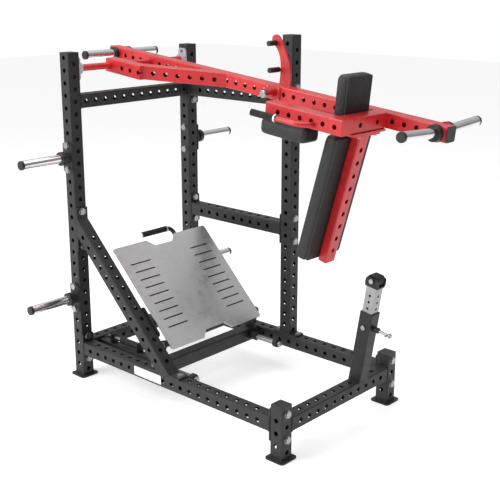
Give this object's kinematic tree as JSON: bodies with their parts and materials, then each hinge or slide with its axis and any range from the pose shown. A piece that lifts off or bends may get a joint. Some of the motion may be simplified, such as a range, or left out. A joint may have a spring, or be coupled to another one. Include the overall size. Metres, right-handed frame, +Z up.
{
  "type": "leg press machine",
  "caption": "Pendulum squat machine: a pivoting arm with back, head and shoulder pads over a slanted foot plate, in a perforated tube frame.",
  "frame": {"origin": "bottom centre of the machine's box, on the floor", "axes": "+X from the pivot posts towards the user's back and the stop post, +Y from the near side to the far side with the three tall posts' open side at -Y, +Z up"},
  "size_m": [2.3716, 1.603, 1.9726],
  "materials": {
    "black_powder_coat": "black textured powder coat",
    "red_powder_coat": "red semi-gloss powder coat",
    "chromed_sleeve": "hard chrome",
    "zinc_steel": "zinc plated steel",
    "bearing_metal": "grey painted casting",
    "brushed_plate": "brushed stainless steel",
    "stop_bar_steel": "satin steel tube",
    "black_plastic": "moulded black plastic",
    "black_rubber": "black rubber",
    "lever_black": "black powder coat",
    "ring_aluminium": "turned aluminium",
    "pad_vinyl": "black upholstery vinyl over foam",
    "pad_board": "black painted plywood",
    "label_white": "blank white label"
  },
  "bodies": {
    "frame": {"beam_top_front": "black_powder_coat", "beams_far": "black_powder_coat", "bearings": "bearing_metal", "brace_near": "black_powder_coat", "crossbar_low": "black_powder_coat", "damper_body": "black_rubber", "damper_rod": "zinc_steel", "floor_plates": "black_powder_coat", "frame_bolts": "zinc_steel", "frame_collars": "black_plastic", "inner_rail": "black_powder_coat", "label_blank": "label_white", "peg_rods": "zinc_steel", "plate_brackets": "black_powder_coat", "post_middle": "black_powder_coat", "posts_front": "black_powder_coat", "posts_stop": "black_powder_coat", "rail_front": "black_powder_coat", "rail_stop": "black_powder_coat", "rails_side": "black_powder_coat", "small_bolts": "zinc_steel", "stop_post": "black_powder_coat", "storage_caps": "black_plastic", "storage_plates": "black_powder_coat", "storage_sleeves": "chromed_sleeve"},
    "arm": {"arm_beam": "red_powder_coat", "arm_end_caps": "black_plastic", "yoke_straight": "red_powder_coat", "yoke_diagonal": "red_powder_coat", "pivot_tube": "red_powder_coat", "pivot_spindles": "zinc_steel", "side_bar": "red_powder_coat", "rear_bar": "red_powder_coat", "back_tube": "red_powder_coat", "handle_bars": "red_powder_coat", "lock_boss": "red_powder_coat", "arm_screws": "zinc_steel", "horn_collars": "black_plastic", "horn_sleeves": "chromed_sleeve", "horn_caps": "black_plastic", "handle_grips": "black_rubber", "handle_ends": "ring_aluminium", "head_pad": "pad_vinyl", "back_pad": "pad_vinyl", "shoulder_pad_near": "pad_vinyl", "shoulder_pad_far": "pad_vinyl", "pad_boards": "pad_board"},
    "lock_lever": {"lock_blade": "red_powder_coat", "lock_pegs": "black_plastic", "lock_shaft": "zinc_steel"},
    "foot_plate": {"foot_plate": "brushed_plate", "foot_plate_frame": "black_powder_coat"},
    "plate_lever": {"plate_lever_bar": "lever_black", "plate_lever_grip": "black_rubber", "plate_lever_rings": "ring_aluminium"},
    "stop_slider": {"stop_bar": "stop_bar_steel", "bumper_bracket": "black_powder_coat", "bumper": "black_rubber", "bumper_bolt": "zinc_steel"},
    "stop_pin": {"stop_pin": "zinc_steel"}
  },
  "joints": [
    {"name": "arm_pivot", "type": "hinge", "parent": "frame", "child": "arm", "pos_m": [-0.81884, 0, 1.783], "axis": [0, 1, 0], "range_deg": [0, 22.5]},
    {"name": "lock_turn", "type": "hinge", "parent": "arm", "child": "lock_lever", "pos_m": [0.13772, 0.177, 1.68077], "axis": [0, 1, 0], "range_deg": [0, 35]},
    {"name": "plate_tilt", "type": "hinge", "parent": "frame", "child": "foot_plate", "pos_m": [-0.19883, 0, 0.32696], "axis": [0, 1, 0], "range_deg": [0, 12]},
    {"name": "plate_release", "type": "hinge", "parent": "foot_plate", "child": "plate_lever", "pos_m": [-0.59721, 0.136, 0.73044], "axis": [0, -1, 0], "range_deg": [0, 14], "stiffness_Nm_per_rad": 20, "springref_deg": -6.88},
    {"name": "stop_height", "type": "slide", "parent": "frame", "child": "stop_slider", "axis": [0.1564, 0, 0.9877], "range_m": [-0.108, 0]},
    {"name": "stop_pin_pull", "type": "slide", "parent": "frame", "child": "stop_pin", "axis": [0.9877, 0, -0.1564], "range_m": [0, 0.02], "stiffness_N_per_m": 2000, "springref_m": -0.01}
  ]
}
